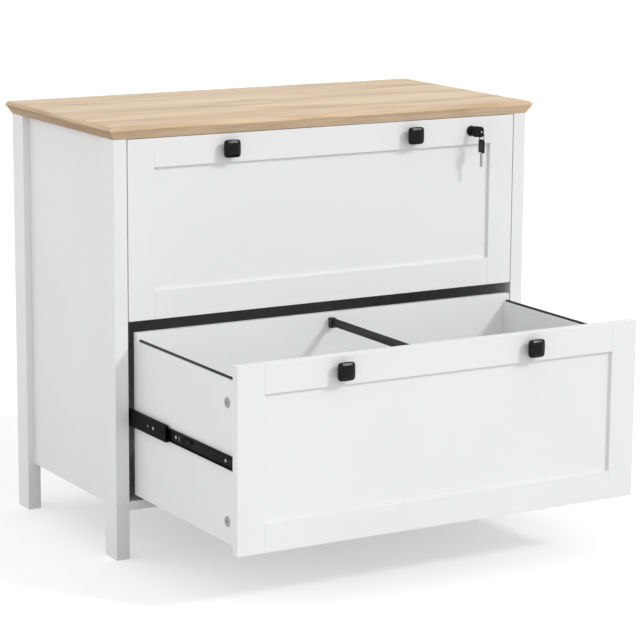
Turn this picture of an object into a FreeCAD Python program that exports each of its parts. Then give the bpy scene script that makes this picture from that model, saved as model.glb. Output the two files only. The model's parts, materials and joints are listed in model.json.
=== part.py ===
import FreeCAD, Part
import Sketcher
import os
import re

# Driving dimensions, in millimetres and degrees
SIZES = {
    # carcass
    "cab_width": 800,
    "cab_depth": 400,
    "leg_height": 700,
    "leg_thick": 24,
    "leg_depth": 43,
    "side_thick": 12,
    "side_bottom": 83,
    "bottom_thick": 15,
    "back_thick": 5,
    "back_inset": 3,
    "stretcher_thick": 12,
    "stretcher_depth": 60,
    "edge_ease": 0.6,
    # top panel with an undercut edge
    "top_overhang": 9,
    "top_tip_rise": 15,
    "top_thick": 21.5,
    "top_ease": 7.5,
    # carcass fasteners
    "wood_screw_radius": 2,
    "wood_screw_head": 3.9,
    "wood_screw_cap": 2.4,
    "wood_screw_bite": 12,
    "wood_screw_inset": 76,
    "back_screw_radius": 1.5,
    "back_screw_head": 3,
    "back_screw_cap": 1.8,
    "back_screw_bite": 14,
    "back_screw_inset": 61,
    "fitting_radius": 7.5,
    "fitting_depth": 10,
    "fitting_inset": 32,
    "fitting_end": 92.5,
    "hole_play": 0.1,
    # drawer fronts
    "front_thick": 15,
    "front_gap": 1.6,
    "top_gap": 1,
    "middle_gap": 2.5,
    "bottom_gap": 1.5,
    "stile_width": 48,
    "rail_width": 48,
    "panel_thick": 6,
    "panel_setback": 5.6,
    "groove_depth": 7,
    "groove_spare": 0.5,
    # drawer boxes
    "box_lift": 9.5,
    "box_top_gap": 15,
    "box_depth": 355,
    "box_thick": 12,
    "side_drop": 14,
    "base_thick": 6,
    "base_rise": 10,
    "base_groove": 6,
    "drawer_opening": 370,
    # cam caps on the drawer sides
    "cap_radius": 8.5,
    "cap_proud": 1,
    "cap_body_radius": 7.4,
    "cap_body_depth": 8.5,
    "cap_setback": 32,
    "cap_low": 35,
    "cap_top_gap": 50.5,
    # hanging-file bars
    "bar_rise": 3.5,
    "bar_seat": 6,
    "bar_thick": 3,
    "bar_height": 14,
    "bar_drop": 8,
    "clip_width": 10,
    "clip_length": 10,
    "clip_wall": 2,
    "clip_floor": 3,
    # knobs
    "knob_inset": 196.4,
    "knob_shift": -12,
    "knob_size": 30,
    "knob_corner": 6,
    "knob_reach": 18,
    "knob_neck": 8,
    "knob_crown": 48,
    "stem_wide": 8,
    "stem_narrow": 6.5,
    "knob_screw_radius": 2,
    "knob_screw_head": 3.8,
    "knob_screw_cap": 2.4,
    "knob_screw_bite": 8,
    # ball slides
    "slide_gap": 10,
    "slide_drop": 5.75,
    "slide_height": 35,
    "slide_wall": 1.2,
    "middle_wall": 1,
    "slide_start": 1.5,
    "cabinet_member_length": 360,
    "cabinet_flange": 8.5,
    "cabinet_lip": 1,
    "middle_start": 4,
    "middle_length": 345,
    "middle_flange": 6.6,
    "drawer_member_length": 350,
    "drawer_flange": 4.8,
    "outer_ball": 2.6,
    "inner_ball": 1.8,
    "outer_ball_depth": 5,
    "inner_ball_depth": 7,
    "ball_play": 0.1,
    "cage_wall": 0.6,
    "cage_play": 0.3,
    "cage_lip": 0.7,
    "cage_length": 90,
    "outer_cage_start": 120,
    "inner_cage_start": 134,
    # shares of the drawer's travel that the loose slide pieces make
    "middle_share": 0.4,
    "outer_cage_share": 0.2,
    "inner_cage_share": 0.7,
    # slide screws
    "slide_screw_radius": 1.7,
    "slide_screw_head": 3.2,
    "slide_screw_cap": 1.6,
    "slide_screw_bite": 10,
    "cabinet_screw_first": 16,
    "cabinet_screw_second": 146,
    "cabinet_screw_third": 326,
    "drawer_screw_first": 35,
    "drawer_screw_second": 202,
    "drawer_screw_third": 320,
    # lock
    "lock_inset": 88.4,
    "lock_flange_radius": 9,
    "lock_flange": 2.5,
    "barrel_radius": 8,
    "barrel_past_front": 6.5,
    "plug_radius": 6,
    "plug_play": 0.08,
    "nut_radius": 12,
    "nut_thick": 4,
    "cam_thick": 2,
    "cam_width": 14,
    "cam_hub": 8,
    "cam_reach": 20,
    "cam_play": 0.5,
    "tail_width": 6,
    "tail_cap_radius": 4.6,
    "tail_cap": 1.3,
    "strike_thick": 1.5,
    "strike_width": 40,
    "strike_clear": 1,
    "strike_play": 0.8,
    "strike_screw_spread": 26,
    "strike_screw_radius": 1.2,
    "strike_screw_head": 2.4,
    "strike_screw_cap": 1.2,
    "strike_screw_bite": 9,
    "stretcher_setback": 13.5,
    # keys
    "key_reach": 9,
    "bow_angle": 21,
    "bow_length": 20.5,
    "bow_height": 18.5,
    "bow_thick": 3.2,
    "bow_corner": 4,
    "bow_notch": 3.2,
    "bow_ear": 2.4,
    "hinge_pin": 1,
    "hinge_play": 0.05,
    "hinge_barrel": 2.2,
    "hinge_height": 8,
    "notch_play": 0.2,
    "blade_thick": 1.8,
    "blade_height": 7,
    "blade_length": 27,
    "keyway_play": 0.1,
    "ring_hole_reach": 17,
    "ring_hole_radius": 2.4,
    "ring_radius": 6.8,
    "ring_wire": 0.6,
    "ring_play": 0.5,
    "spare_turn": -8,
}

# Places and sizes that follow from the driving dimensions
PLACES = {
    "half_width": "cab_width / 2",
    "front_plane": "(drawer_opening + knob_reach - cab_depth - top_overhang) / 2",
    "rear_plane": "front_plane + cab_depth",
    "inner_x": "half_width - leg_thick",
    "bottom_top": "side_bottom + bottom_thick",
    "back_front": "rear_plane - back_inset - back_thick",
    "stretcher_bottom": "leg_height - stretcher_thick",
    "stretcher_front": "front_back + stretcher_setback",
    "front_back": "front_plane + front_thick",
    "front_half": "inner_x - front_gap",
    "front_height": "(leg_height - top_gap - middle_gap - bottom_gap - bottom_top) / 2",
    "lower_base": "bottom_top + bottom_gap",
    "upper_base": "lower_base + front_height + middle_gap",
    "box_half": "inner_x - slide_gap",
    "box_inner": "box_half - box_thick",
    "box_back": "front_back + box_depth",
    "box_height": "front_height - box_lift - box_top_gap",
    "cap_high": "box_height - cap_top_gap",
    "side_height": "box_height - side_drop",
    "side_middle": "box_half - box_thick / 2",
    "knob_pitch": "2 * (front_half - knob_inset)",
    "knob_drop": "front_height - rail_width / 2",
    # carcass fasteners
    "wood_screw_spread": "inner_x - wood_screw_inset",
    "back_screw_pitch": "(inner_x - back_screw_inset) / 1.5",
    # slide section, measured from the carcass wall towards the drawer, and up from the slide's axis
    "slide_rise": "box_lift + box_height / 2 - slide_drop",
    "outer_cage_near": "slide_wall + cage_play",
    "middle_near": "outer_cage_near + cage_wall + cage_play",
    "middle_far": "middle_near + middle_flange",
    "inner_cage_near": "middle_near + middle_wall + cage_play",
    "cabinet_half": "slide_height / 2",
    "cabinet_race": "cabinet_half - slide_wall",
    "middle_half": "cabinet_race - outer_ball - 2 * ball_play",
    "middle_race": "middle_half - middle_wall",
    "drawer_half": "middle_race - inner_ball - 2 * ball_play",
    "slide_front": "front_back + slide_start",
    # lock and keys
    "lock_x": "front_half - lock_inset",
    "lock_z": "upper_base + knob_drop",
    "barrel_end": "front_back + barrel_past_front",
    "cam_front": "barrel_end + cam_play",
    "cam_back": "cam_front + cam_thick",
    "strike_back": "cam_front - strike_play",
    "strike_bottom": "lock_z + cam_hub + strike_clear",
    "pivot_y": "front_plane - key_reach",
    "hang_x": "lock_x + ring_hole_reach * sin(bow_angle * 1 deg)",
    "hang_y": "pivot_y - ring_hole_reach * cos(bow_angle * 1 deg)",
    "ring_seat": "ring_hole_radius - ring_wire - ring_play",
    "ring_z": "lock_z - ring_seat - ring_radius",
    "spare_z": "ring_z - ring_radius - ring_seat - ring_hole_reach",
}

LEFT, RIGHT = -1, 1
SIDES = {"left": LEFT, "right": RIGHT}
BALLS_IN_ROW = 6
EASE_STEPS = 3
NEAR = 1e-6

# Each drawer's level: the lower edge of its front, and how far it is pulled out at rest
LEVELS = {
    "upper": {"base": "upper_base", "pull": "0"},
    "lower": {"base": "lower_base", "pull": "drawer_opening"},
}

DIRECTIONS = {
    "+x": FreeCAD.Vector(1, 0, 0),
    "-x": FreeCAD.Vector(-1, 0, 0),
    "+y": FreeCAD.Vector(0, 1, 0),
    "-y": FreeCAD.Vector(0, -1, 0),
    "+z": FreeCAD.Vector(0, 0, 1),
    "-z": FreeCAD.Vector(0, 0, -1),
}

doc = FreeCAD.newDocument("filing_cabinet")
sheet = doc.addObject("Spreadsheet::Sheet", "Sizes")
for row, (alias, size) in enumerate(SIZES.items(), start=1):
    sheet.set(f"A{row}", alias)
    sheet.set(f"B{row}", str(size))
    sheet.setAlias(f"B{row}", alias)
doc.recompute()

nodes = {}


# Expressions and solids

def bind(text):
    """An expression on the sheet: places are spelt out and sizes name their cells."""
    def spell(match):
        word = match.group()
        if word in PLACES:
            return f"({bind(PLACES[word])})"
        return f"Sizes.{word}" if word in SIZES else word
    return re.sub(r"[a-z][a-z_]*", spell, text)


def value(text):
    """What an expression measures now."""
    return float(sheet.evalExpression(bind(text)))


def place(obj, at, direction=None):
    """Stand an object's own Z axis along a direction, at a bound point."""
    if direction:
        turn = FreeCAD.Rotation(DIRECTIONS["+z"], DIRECTIONS[direction])
        obj.Placement = FreeCAD.Placement(FreeCAD.Vector(), turn)
    for axis, where in zip("xyz", at):
        obj.setExpression(f"Placement.Base.{axis}", bind(where))
    return obj


def size(obj, **sizes):
    """Bind an object's sizes."""
    for name, text in sizes.items():
        obj.setExpression(name, bind(text))
    return obj


def block(name, x, y, z):
    """A board between two places on each axis."""
    box = doc.addObject("Part::Box", name)
    lengths = [f"({high}) - ({low})" for low, high in (x, y, z)]
    size(box, Length=lengths[0], Width=lengths[1], Height=lengths[2])
    return place(box, [span[0] for span in (x, y, z)])


def rod(name, at, direction, radius, length):
    """A round bar that starts at a point."""
    bar = size(doc.addObject("Part::Cylinder", name), Radius=radius, Height=length)
    return place(bar, at, direction)


def taper(name, at, direction, start_radius, end_radius, length):
    """A round bar whose radius changes along it."""
    cone = doc.addObject("Part::Cone", name)
    size(cone, Radius1=start_radius, Radius2=end_radius, Height=length)
    return place(cone, at, direction)


def ball(name, at, diameter):
    """A ball at a point."""
    return place(size(doc.addObject("Part::Sphere", name), Radius=f"({diameter}) / 2"), at)


def fuse(name, pieces):
    """One solid of several."""
    whole = doc.addObject("Part::MultiFuse", name)
    whole.Shapes = pieces
    return whole


def group(name, pieces):
    """Several separate solids under one name."""
    members = doc.addObject("Part::Compound", name)
    members.Links = pieces
    return members


def cut(name, base, tools):
    """A solid less its holes and grooves."""
    result = doc.addObject("Part::Cut", name)
    result.Base = base
    result.Tool = tools[0] if len(tools) == 1 else group(f"{name}_cuts", tools)
    return result


def common(name, first, second):
    """What two solids share."""
    result = doc.addObject("Part::Common", name)
    result.Base = first
    result.Tool = second
    return result


def rounded(name, base, radius, along="xyz"):
    """A solid with its straight edges along the given axes rounded."""
    doc.recompute()
    edges = []
    for index, edge in enumerate(base.Shape.Edges, start=1):
        run = edge.Vertexes[1].Point - edge.Vertexes[0].Point
        if any(abs(run.getAngle(DIRECTIONS[f"{sign}{axis}"])) < NEAR for axis in along for sign in "+-"):
            edges.append((index, value(radius), value(radius)))
    result = doc.addObject("Part::Fillet", name)
    result.Base = base
    result.Edges = edges
    return result


def eased(name, x, y, z):
    """A board with its sharp edges taken off."""
    return rounded(name, block(f"{name}_blank", x, y, z), "edge_ease")


def keep(node, obj):
    """Name an object as one of the pieces."""
    obj.Label = node
    nodes[node] = obj
    return obj


def outward(side, near, far):
    """A span on X, given from the middle outwards on the right, and mirrored on the left."""
    return (near, far) if side == RIGHT else (f"-({far})", f"-({near})")


def at_side(side, distance):
    """A place on X on the given side."""
    return distance if side == RIGHT else f"-({distance})"


def sketch_loop(body, role, points, name, lift=None):
    """A closed outline on one of a body's own planes, each corner bound on both axes."""
    plane = next(item for item in body.Origin.OriginFeatures if item.Role == role)
    sketch = body.newObject("Sketcher::SketchObject", name)
    sketch.AttachmentSupport = (plane, [""])
    sketch.MapMode = "FlatFace"
    if lift:
        sketch.setExpression("AttachmentOffset.Base.z", bind(lift))
    corners = [FreeCAD.Vector(value(across), value(up), 0) for across, up in points]
    for start, end in zip(corners, corners[1:] + corners[:1]):
        sketch.addGeometry(Part.LineSegment(start, end))
    for index, (across, up) in enumerate(points):
        following = (index + 1) % len(points)
        sketch.addConstraint(Sketcher.Constraint("Coincident", index, 2, following, 1))
        for kind, text in (("DistanceX", across), ("DistanceY", up)):
            rule = sketch.addConstraint(Sketcher.Constraint(kind, -1, 1, index, 1, value(text)))
            sketch.setExpression(f"Constraints[{rule}]", bind(text))
    return sketch


# Carcass

def wood_screw_places():
    """Where the screws pass up through the stretchers into the top."""
    rows = ("stretcher_front + stretcher_depth / 2", "back_front - stretcher_depth / 2")
    return [(across, row) for row in rows for across in ("-wood_screw_spread", "0", "wood_screw_spread")]


def strike_screw_places():
    """Where the strike is screwed to the underside of the top."""
    row = "(strike_back - strike_thick + stretcher_front) / 2"
    return [(f"lock_x {sign} strike_screw_spread / 2", row) for sign in "+-"]


def back_screw_places():
    """Where the back panel is screwed to the bottom panel and the rear stretcher."""
    heights = ("side_bottom + bottom_thick / 2", "leg_height - stretcher_thick / 2")
    return [(f"{step} * back_screw_pitch", height) for height in heights for step in (-1.5, -0.5, 0.5, 1.5)]


def slide_screw_places(level):
    """The cabinet member's screws: distance along Y, and height."""
    height = f"{LEVELS[level]['base']} + slide_rise"
    return [(f"slide_front + cabinet_screw_{order}", height) for order in ("first", "second", "third")]


def make_top():
    """The top panel: undercut to a sharp rim, with a rounded upper edge."""
    sections = [("0", "leg_height"), ("top_overhang", "leg_height + top_tip_rise")]
    for step in range(1, EASE_STEPS + 1):
        angle = f"{90 * step / EASE_STEPS} deg"
        sections.append((f"top_overhang - top_ease * (1 - cos({angle}))",
                         f"leg_height + top_tip_rise + (top_thick - top_tip_rise) * sin({angle})"))
    body = doc.addObject("PartDesign::Body", "top_board")
    loops = []
    for index, (out, lift) in enumerate(sections):
        left, right = f"-(half_width + {out})", f"half_width + {out}"
        front, rear = f"front_plane - ({out})", f"rear_plane + {out}"
        corners = [(left, front), (right, front), (right, rear), (left, rear)]
        loops.append(sketch_loop(body, "XY_Plane", corners, f"top_section_{index}", lift))
    loft = body.newObject("PartDesign::AdditiveLoft", "top_loft")
    loft.Profile = loops[0]
    loft.Sections = loops[1:]
    loft.Ruled = True
    holes = [rod("top_hole", (across, row, "leg_height"), "+z", "wood_screw_radius + hole_play",
                 "wood_screw_bite + hole_play") for across, row in wood_screw_places()]
    holes += [rod("strike_hole", (across, row, "leg_height"), "+z", "strike_screw_radius + hole_play",
                  "strike_screw_bite + hole_play") for across, row in strike_screw_places()]
    keep("top_panel", cut("top_panel", body, holes))


def make_legs():
    """Four square legs; the front pair carries the first screw of each slide."""
    ends = {
        "front": ("front_plane", "front_plane + leg_depth"),
        "rear": ("rear_plane - leg_depth", "rear_plane"),
    }
    for side_name, side in SIDES.items():
        for end, span in ends.items():
            leg = eased(f"{end}_{side_name}_leg_bar", outward(side, "inner_x", "half_width"), span,
                        ("0", "leg_height"))
            if end == "front":
                leg = cut(f"{end}_{side_name}_leg", leg, slide_screw_holes(side, 0))
            keep(f"{end}_{side_name}_leg", leg)


def slide_screw_holes(side, *orders):
    """Pilot holes of the slide screws in a leg or a side panel."""
    holes = []
    for level in LEVELS:
        for order in orders:
            along, height = slide_screw_places(level)[order]
            start = (at_side(side, "inner_x"), along, height)
            direction = "+x" if side == RIGHT else "-x"
            holes.append(rod("slide_pilot", start, direction, "slide_screw_radius + hole_play",
                             "slide_screw_bite + hole_play"))
    return holes


def make_side_panels():
    """Side panels between the legs, flush with them inside."""
    for side_name, side in SIDES.items():
        panel = eased(f"{side_name}_side_board", outward(side, "inner_x", "inner_x + side_thick"),
                      ("front_plane + leg_depth", "rear_plane - leg_depth"), ("side_bottom", "leg_height"))
        keep(f"{side_name}_side_panel", cut(f"{side_name}_side_panel", panel, slide_screw_holes(side, 1, 2)))


def make_flat_boards():
    """Bottom panel, back panel and the two stretchers, with the holes of their fasteners."""
    across = ("-inner_x", "inner_x")
    back_y = ("back_front", "back_front + back_thick")
    under_top = ("stretcher_bottom", "leg_height")
    boards = {
        "bottom_panel": (("front_plane", "back_front"), ("side_bottom", "bottom_top")),
        "back_panel": (back_y, ("side_bottom", "leg_height")),
        "front_stretcher": (("stretcher_front", "stretcher_front + stretcher_depth"), under_top),
        "rear_stretcher": (("back_front - stretcher_depth", "back_front"), under_top),
    }
    holes = {board: [] for board in boards}
    for index, (where, row) in enumerate(wood_screw_places()):
        board = "front_stretcher" if index < 3 else "rear_stretcher"
        holes[board].append(rod("stretcher_hole", (where, row, "stretcher_bottom"), "+z",
                                "wood_screw_radius + hole_play", "stretcher_thick"))
    for index, (where, height) in enumerate(back_screw_places()):
        board = "bottom_panel" if index < 4 else "rear_stretcher"
        holes[board].append(rod("back_pilot", (where, "back_front", height), "-y",
                                "back_screw_radius + hole_play", "back_screw_bite + hole_play"))
        holes["back_panel"].append(rod("back_hole", (where, "back_front", height), "+y",
                                       "back_screw_radius + hole_play", "back_thick"))
    for board, where in fitting_places():
        holes[board].append(rod("fitting_bore", where, "+z", "fitting_radius + hole_play", "fitting_depth"))
    for board, (deep, high) in boards.items():
        blank = block(f"{board}_blank", across, deep, high)
        keep(board, cut(board, blank, holes[board]))


def fitting_places():
    """Cam fittings let into the undersides of the bottom panel and the stretchers, near their ends."""
    spots = {
        "bottom_panel": (("front_plane + fitting_end", "rear_plane - fitting_end"), "side_bottom"),
        "front_stretcher": (("stretcher_front + stretcher_depth / 2",), "stretcher_bottom"),
        "rear_stretcher": (("back_front - stretcher_depth / 2",), "stretcher_bottom"),
    }
    return [(board, (at_side(side, "inner_x - fitting_inset"), row, height))
            for board, (rows, height) in spots.items() for row in rows for side in SIDES.values()]


def make_carcass_fasteners():
    """Screws and cam fittings that hold the carcass together."""
    screws = []
    for index, (across, row) in enumerate(wood_screw_places()):
        head = rod("top_screw_head", (across, row, "stretcher_bottom - wood_screw_cap"), "+z",
                   "wood_screw_head", "wood_screw_cap")
        shank = rod("top_screw_shank", (across, row, "stretcher_bottom - wood_screw_cap"), "+z",
                    "wood_screw_radius", "wood_screw_cap + stretcher_thick + wood_screw_bite")
        screws.append(fuse(f"top_screw_{index}", [head, shank]))
    for index, (across, row) in enumerate(strike_screw_places()):
        foot = (across, row, "leg_height - strike_thick - strike_screw_cap")
        head = rod("strike_screw_head", foot, "+z", "strike_screw_head", "strike_screw_cap")
        shank = rod("strike_screw_shank", foot, "+z", "strike_screw_radius",
                    "strike_screw_cap + strike_thick + strike_screw_bite")
        screws.append(fuse(f"strike_screw_{index}", [head, shank]))
    keep("top_screws", group("top_screws", screws))
    screws = []
    for index, (across, height) in enumerate(back_screw_places()):
        outer = (across, "back_front + back_thick + back_screw_cap", height)
        head = rod("back_screw_head", outer, "-y", "back_screw_head", "back_screw_cap")
        shank = rod("back_screw_shank", outer, "-y", "back_screw_radius",
                    "back_screw_cap + back_thick + back_screw_bite")
        screws.append(fuse(f"back_screw_{index}", [head, shank]))
    keep("back_screws", group("back_screws", screws))
    fittings = [rod("cam_fitting", where, "+z", "fitting_radius", "fitting_depth")
                for _, where in fitting_places()]
    keep("cam_fittings", group("cam_fittings", fittings))


# Drawers

def make_front(level):
    """A framed drawer front: stiles, rails with stub tenons, and a panel held in their grooves."""
    base, pull = LEVELS[level]["base"], LEVELS[level]["pull"]
    face, back = f"front_plane - {pull}", f"front_back - {pull}"
    groove_y = (f"{face} + panel_setback", f"{face} + panel_setback + panel_thick")
    top = f"{base} + front_height"
    open_x = "front_half - stile_width"
    low_z, high_z = f"{base} + rail_width", f"{top} - rail_width"
    stiles = []
    for side_name, side in SIDES.items():
        stile = eased(f"{level}_{side_name}_stile_bar", outward(side, open_x, "front_half"),
                      (face, back), (base, top))
        groove = block("stile_groove", outward(side, open_x, f"{open_x} + groove_depth"),
                       groove_y, (base, top))
        stiles.append(cut(f"{level}_{side_name}_stile", stile, [groove]))
    keep(f"{level}_front_stiles", group(f"{level}_front_stiles", stiles))
    tongue = "groove_depth - groove_spare"
    rail_x, tenon_x = (f"-({open_x})", open_x), (f"-({open_x} + {tongue})", f"{open_x} + {tongue}")
    spans = {"bottom": ((base, low_z), (f"{low_z} - groove_depth", low_z)),
             "top": ((high_z, top), (high_z, f"{high_z} + groove_depth"))}
    rails = []
    for rail, (span, groove_z) in spans.items():
        bar = eased(f"{level}_{rail}_rail_bar", rail_x, (face, back), span)
        tenon = block("rail_tenon", tenon_x, groove_y, span)
        cuts = [block("rail_groove", tenon_x, groove_y, groove_z)]
        if rail == "top":
            cuts += [rod("knob_hole", (across, back, f"{base} + knob_drop"), "-y",
                         "knob_screw_radius + hole_play", "front_thick") for across in knob_places()]
            if level == "upper":
                cuts.append(rod("lock_hole", ("lock_x", back, "lock_z"), "-y",
                                "barrel_radius + hole_play", "front_thick"))
        rails.append(cut(f"{level}_{rail}_rail", fuse(f"{level}_{rail}_rail_blank", [bar, tenon]), cuts))
    keep(f"{level}_front_rails", group(f"{level}_front_rails", rails))
    keep(f"{level}_front_panel", block(f"{level}_front_panel", tenon_x, groove_y,
                                       (f"{low_z} - ({tongue})", f"{high_z} + {tongue}")))


def cap_places(level):
    """Cam caps on a drawer side: distance along Y, and height."""
    base, pull = LEVELS[level]["base"], LEVELS[level]["pull"]
    along = f"front_back - {pull} + cap_setback"
    return [(along, f"{base} + box_lift + {height}") for height in ("cap_low", "cap_high")]


def drawer_screw_places(level):
    """The drawer member's screws: distance along Y, and height."""
    base, pull = LEVELS[level]["base"], LEVELS[level]["pull"]
    return [(f"front_back - {pull} + drawer_screw_{order}", f"{base} + slide_rise")
            for order in ("first", "second", "third")]


def make_box(level):
    """Drawer sides, back and bottom, with the cam caps that pull the sides to the front."""
    base, pull = LEVELS[level]["base"], LEVELS[level]["pull"]
    start, end = f"front_back - {pull}", f"box_back - {pull}"
    low = f"{base} + box_lift"
    side_top = f"{low} + side_height"
    side_y = (start, f"{end} - box_thick")
    floor = (f"{low} + base_rise", f"{low} + base_rise + base_thick")
    floor_x = ("-(box_inner + base_groove)", "box_inner + base_groove")
    caps = []
    for side_name, side in SIDES.items():
        inward = "-x" if side == RIGHT else "+x"
        face = at_side(side, "box_half")
        board = eased(f"{level}_{side_name}_side_board", outward(side, "box_inner", "box_half"),
                      side_y, (low, side_top))
        cuts = [block("side_groove", outward(side, "box_inner", "box_inner + base_groove"), side_y, floor),
                block("bar_groove", side_bar_x(side, "hole_play"), side_y,
                      (f"{side_top} - bar_seat", side_top))]
        for along, height in cap_places(level):
            cuts.append(rod("cap_bore", (face, along, height), inward,
                            "cap_body_radius + hole_play", "cap_body_depth + hole_play"))
            body = rod("cap_body", (face, along, height), inward, "cap_body_radius", "cap_body_depth")
            outer = (at_side(side, "box_half + cap_proud"), along, height)
            caps.append(fuse("cam_cap", [body, rod("cap_rim", outer, inward, "cap_radius", "cap_proud")]))
        cuts += [rod("member_pilot", (face, along, height), inward,
                     "slide_screw_radius + hole_play", "slide_screw_bite + hole_play")
                 for along, height in drawer_screw_places(level)]
        keep(f"{level}_{side_name}_drawer_side", cut(f"{level}_{side_name}_drawer_side", board, cuts))
    keep(f"{level}_cam_caps", group(f"{level}_cam_caps", caps))
    back_board = eased(f"{level}_back_board", ("-box_half", "box_half"), (f"{end} - box_thick", end),
                       (low, f"{low} + box_height"))
    groove = block("back_groove", floor_x, (f"{end} - box_thick", f"{end} - box_thick + base_groove"), floor)
    keep(f"{level}_drawer_back", cut(f"{level}_drawer_back", back_board, [groove]))
    keep(f"{level}_drawer_bottom", block(f"{level}_drawer_bottom", floor_x,
                                         (start, f"{end} - box_thick + base_groove"), floor))


def side_bar_x(side, play):
    """The bar in the top of a drawer side on X, with play on both faces."""
    half = f"bar_thick / 2 + {play}"
    return outward(side, f"side_middle - ({half})", f"side_middle + {half}")


def make_hanging_bars(level):
    """Bars that carry hanging files: one let into each drawer side's top, one between in two clips."""
    base, pull = LEVELS[level]["base"], LEVELS[level]["pull"]
    start, end = f"front_back - {pull}", f"box_back - {pull} - box_thick"
    side_top = f"{base} + box_lift + side_height"
    bars = [block("side_bar", side_bar_x(side, "0"), (start, end),
                  (f"{side_top} - bar_seat", f"{side_top} + bar_rise")) for side in SIDES.values()]
    top = f"{base} + box_lift + box_height - bar_drop"
    low = f"{top} - bar_height"
    slot_x = ("-bar_thick / 2", "bar_thick / 2")
    bar_y = (f"{start} + clip_wall", f"{end} - clip_wall")
    bars.append(block("hanging_bar", slot_x, bar_y, (low, top)))
    clips = []
    for clip_y in ((start, f"{start} + clip_length"), (f"{end} - clip_length", end)):
        body = block("clip_body", ("-clip_width / 2", "clip_width / 2"), clip_y, (f"{low} - clip_floor", top))
        clips.append(cut("bar_clip", body, [block("clip_slot", slot_x, bar_y, (low, top))]))
    keep(f"{level}_hanging_bars", group(f"{level}_hanging_bars", bars))
    keep(f"{level}_bar_clips", group(f"{level}_bar_clips", clips))


def knob_places():
    """The knobs of a front on X."""
    return ["knob_shift - knob_pitch / 2", "knob_shift + knob_pitch / 2"]


def make_knobs(level):
    """Square pillow-faced knobs, each held by a screw through the rail."""
    base, pull = LEVELS[level]["base"], LEVELS[level]["pull"]
    face, back = f"front_plane - {pull}", f"front_back - {pull}"
    height = f"{base} + knob_drop"
    knobs, screws = [], []
    for across in knob_places():
        square_x = (f"{across} - knob_size / 2", f"{across} + knob_size / 2")
        square_z = (f"{height} - knob_size / 2", f"{height} + knob_size / 2")
        square = block("knob_square", square_x, (f"{face} - knob_reach", f"{face} - knob_neck"), square_z)
        stem = taper("knob_stem", (across, face, height), "-y", "stem_wide", "stem_narrow", "knob_neck")
        blank = fuse("knob_blank", [rounded("knob_head", square, "knob_corner", "y"), stem])
        dome = ball("knob_dome", (across, f"{face} - knob_reach + knob_crown", height), "2 * knob_crown")
        bore = rod("knob_bore", (across, face, height), "-y", "knob_screw_radius + hole_play",
                   "knob_screw_bite + hole_play")
        knobs.append(cut("knob", common("knob_pillow", blank, dome), [bore]))
        tail = (across, f"{back} + knob_screw_cap", height)
        head = rod("knob_screw_head", tail, "-y", "knob_screw_head", "knob_screw_cap")
        shank = rod("knob_screw_shank", tail, "-y", "knob_screw_radius",
                    "knob_screw_cap + front_thick + knob_screw_bite")
        screws.append(fuse("knob_screw", [head, shank]))
    keep(f"{level}_knobs", group(f"{level}_knobs", knobs))
    keep(f"{level}_knob_screws", group(f"{level}_knob_screws", screws))


# Ball slides

def section_span(side, near, far):
    """A span on X, given as depths from the carcass wall."""
    return outward(side, f"inner_x - ({far})", f"inner_x - ({near})")


def channel(name, side, along, height, web, flange, half, wall):
    """A slide member: a web with a flange above and below it."""
    plates = [block("web", section_span(side, *web), along, (f"{height} - ({half})", f"{height} + {half}"))]
    for sign in (1, -1):
        inner, outer = f"({half}) - {wall}", half
        span = (f"{height} + {inner}", f"{height} + {outer}")
        if sign < 0:
            span = (f"{height} - ({outer})", f"{height} - ({inner})")
        plates.append(block("flange", section_span(side, *flange), along, span))
    return fuse(name, plates)


def make_cabinet_members(level):
    """The outer channels, screwed to the legs and side panels, with lips that hold the balls in."""
    along = ("slide_front", "slide_front + cabinet_member_length")
    height = f"{LEVELS[level]['base']} + slide_rise"
    members, screws = [], []
    for side_name, side in SIDES.items():
        outward_axis = "+x" if side == RIGHT else "-x"
        bare = channel("cabinet_channel", side, along, height, ("0", "slide_wall"), ("0", "cabinet_flange"),
                       "cabinet_half", "slide_wall")
        lip = section_span(side, "cabinet_flange - slide_wall", "cabinet_flange")
        upper = block("cabinet_lip", lip, along,
                      (f"{height} + cabinet_race - cabinet_lip", f"{height} + cabinet_race"))
        lower = block("cabinet_lip", lip, along,
                      (f"{height} - (cabinet_race)", f"{height} - (cabinet_race) + cabinet_lip"))
        sinks = []
        for where, level_z in slide_screw_places(level):
            inner = (at_side(side, "inner_x - slide_wall"), where, level_z)
            sinks.append(taper("cabinet_sink", inner, outward_axis, "slide_screw_head + hole_play",
                               "slide_screw_radius + hole_play", "slide_wall"))
            head = taper("sunk_head", inner, outward_axis, "slide_screw_head", "slide_screw_radius",
                         "slide_wall")
            shank = rod("sunk_shank", inner, outward_axis, "slide_screw_radius",
                        "slide_wall + slide_screw_bite")
            screws.append(fuse("cabinet_screw", [head, shank]))
        whole = fuse("cabinet_member_blank", [bare, upper, lower])
        members.append(cut(f"{level}_{side_name}_cabinet_member", whole, sinks))
    keep(f"{level}_cabinet_members", group(f"{level}_cabinet_members", members))
    return screws


def make_middle_members(level):
    """The middle channels, which ride between the other two."""
    start = f"slide_front + middle_start - middle_share * {LEVELS[level]['pull']}"
    height = f"{LEVELS[level]['base']} + slide_rise"
    members = [channel(f"{level}_{side_name}_middle_member", side,
                       (start, f"{start} + middle_length"), height,
                       ("middle_near", "middle_near + middle_wall"), ("middle_near", "middle_far"),
                       "middle_half", "middle_wall") for side_name, side in SIDES.items()]
    keep(f"{level}_middle_members", group(f"{level}_middle_members", members))


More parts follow.
